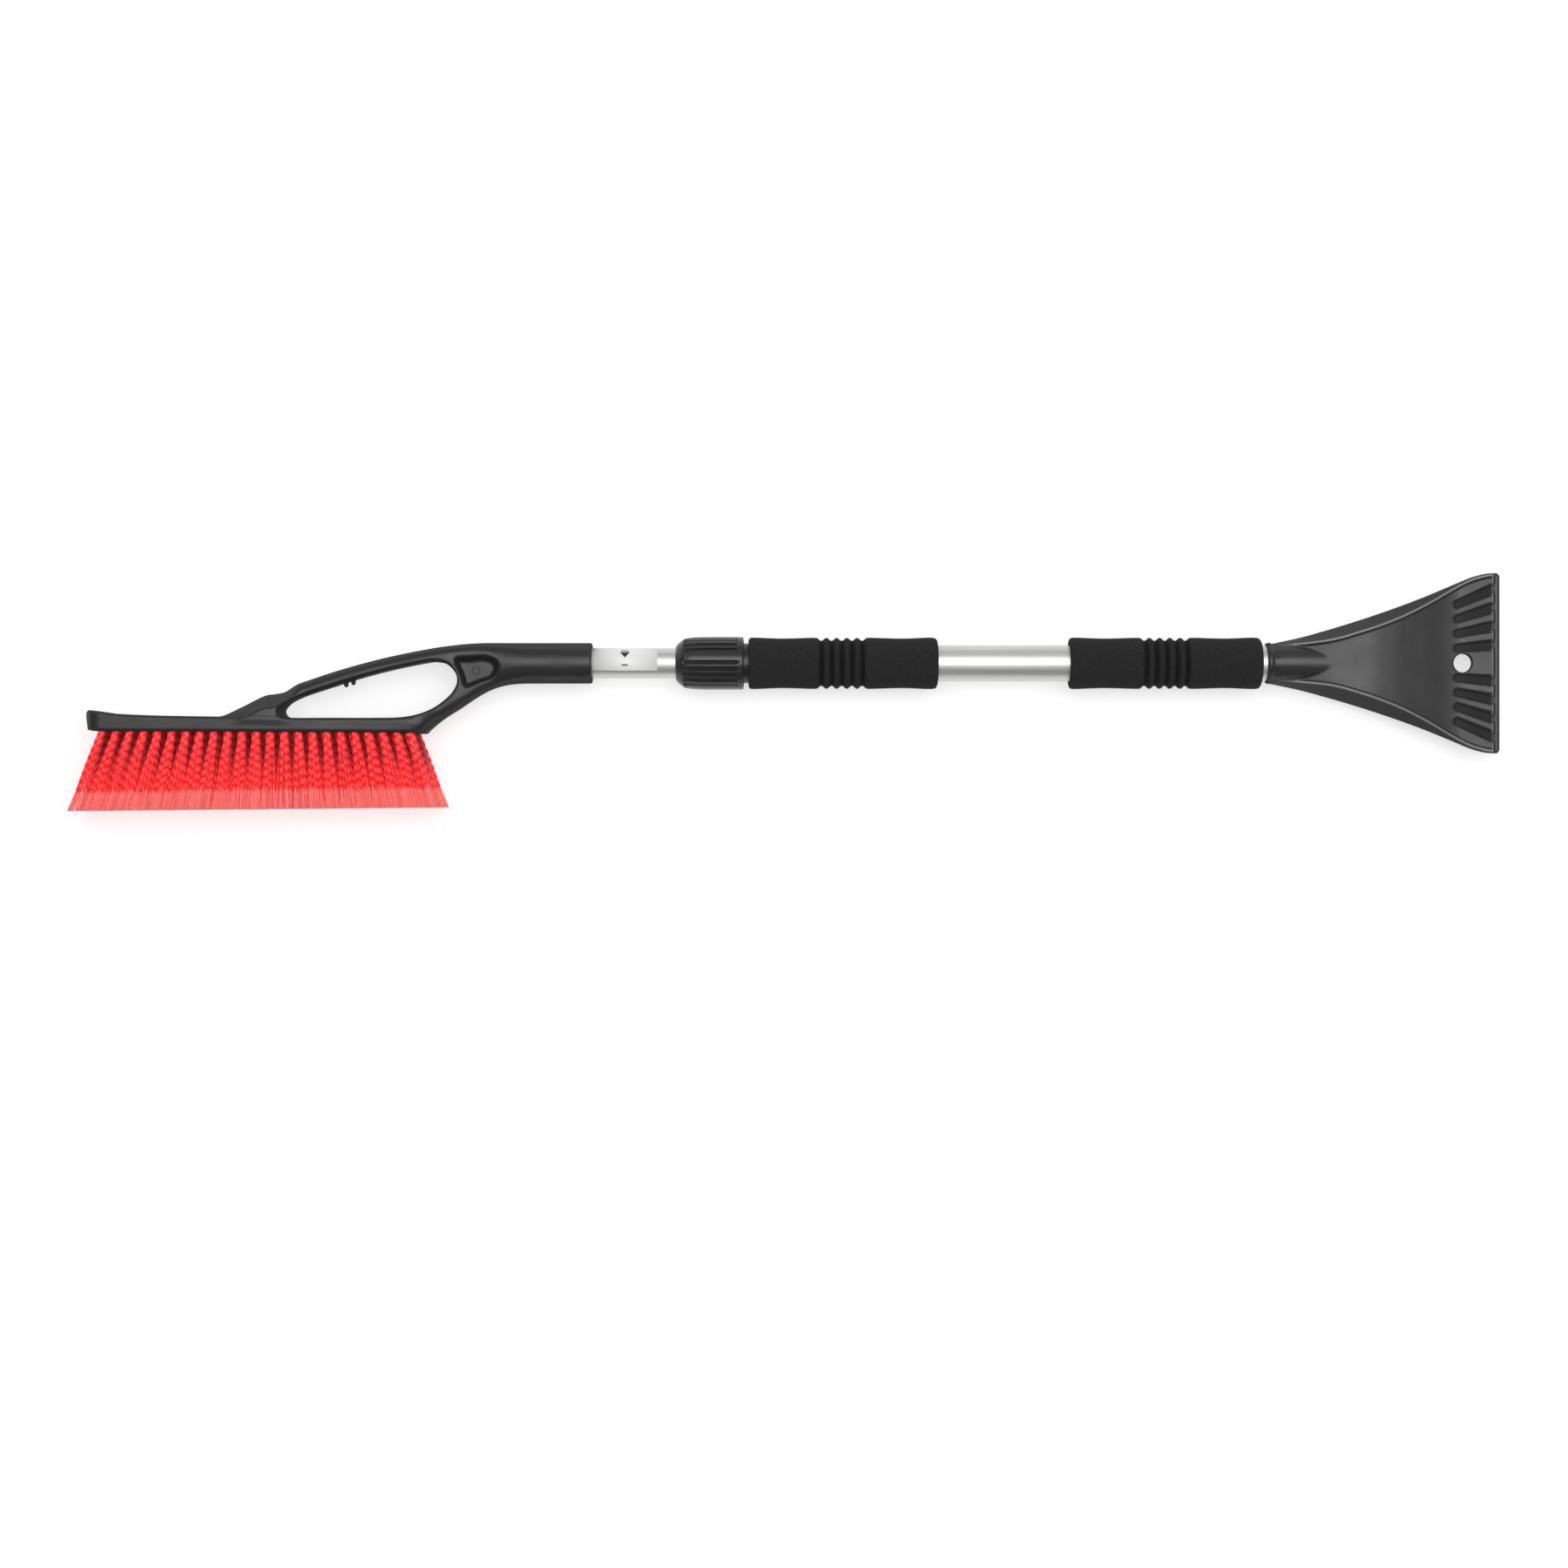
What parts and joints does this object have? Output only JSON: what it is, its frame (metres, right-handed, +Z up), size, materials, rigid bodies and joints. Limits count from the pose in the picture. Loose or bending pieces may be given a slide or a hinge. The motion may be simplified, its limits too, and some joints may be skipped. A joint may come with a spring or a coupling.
{
  "type": "snow brush scraper",
  "caption": "Telescopic snow brush with red crimped bristles on a bowed brush head, foam-gripped tubular handle with a twist lock, and a ribbed ice scraper on the far end.",
  "frame": {"origin": "on the surface that the tool lies on, under the middle of its bounding box", "axes": "+X along the handle towards the scraper's edge; +Y in the plane of the surface, away from the bristles, which point to -Y; +Z up"},
  "size_m": [0.87, 0.1446, 0.038],
  "materials": {
    "anodised_tube": "clear anodised, drawn tube",
    "eva_foam": "closed-cell foam, fine matt skin",
    "black_plastic": "moulded polypropylene, satin",
    "scraper_plastic": "moulded polycarbonate blend, satin",
    "steel": "zinc plated",
    "nylon": "natural nylon",
    "label_film": "printed film",
    "bristle": "crimped polypropylene fibre"
  },
  "bodies": {
    "handle": {"outer_tube": "anodised_tube", "foam_grip_front": "eva_foam", "foam_grip_rear": "eva_foam", "collet_sleeve": "black_plastic", "scraper_head": "scraper_plastic", "tube_end_plug": "black_plastic", "scraper_screw": "steel"},
    "clamp_ring": {"clamp_ring": "nylon"},
    "lock_collar": {"lock_collar": "black_plastic"},
    "guide_bush": {"guide_bush": "nylon"},
    "brush": {"inner_tube": "anodised_tube", "inner_tube_cap": "black_plastic", "tube_label": "label_film", "brush_head": "black_plastic", "brush_screw": "steel", "bristle_row_1": "bristle", "bristle_row_2": "bristle", "bristle_row_3": "bristle", "bristle_row_4": "bristle", "anchor_row_1": "steel", "anchor_row_2": "steel", "anchor_row_3": "steel", "anchor_row_4": "steel"}
  },
  "joints": [
    {"name": "clamp_travel", "type": "slide", "parent": "handle", "child": "clamp_ring", "axis": [-1, 0, 0], "range_m": [0, 0.00133]},
    {"name": "collar_twist", "type": "hinge", "parent": "clamp_ring", "child": "lock_collar", "pos_m": [-0.045, 0.0175, 0.019], "axis": [-1, 0, 0], "range_deg": [0, 120]},
    {"name": "tube_slide", "type": "slide", "parent": "handle", "child": "guide_bush", "axis": [-1, 0, 0], "range_m": [0, 0.24]},
    {"name": "brush_turn", "type": "hinge", "parent": "guide_bush", "child": "brush", "pos_m": [-0.1, 0.0175, 0.019], "axis": [-1, 0, 0], "continuous": true}
  ],
  "couplings": [
    {"joint": "collar_twist", "follows": "clamp_travel", "rad_per_m": 1570.8}
  ]
}
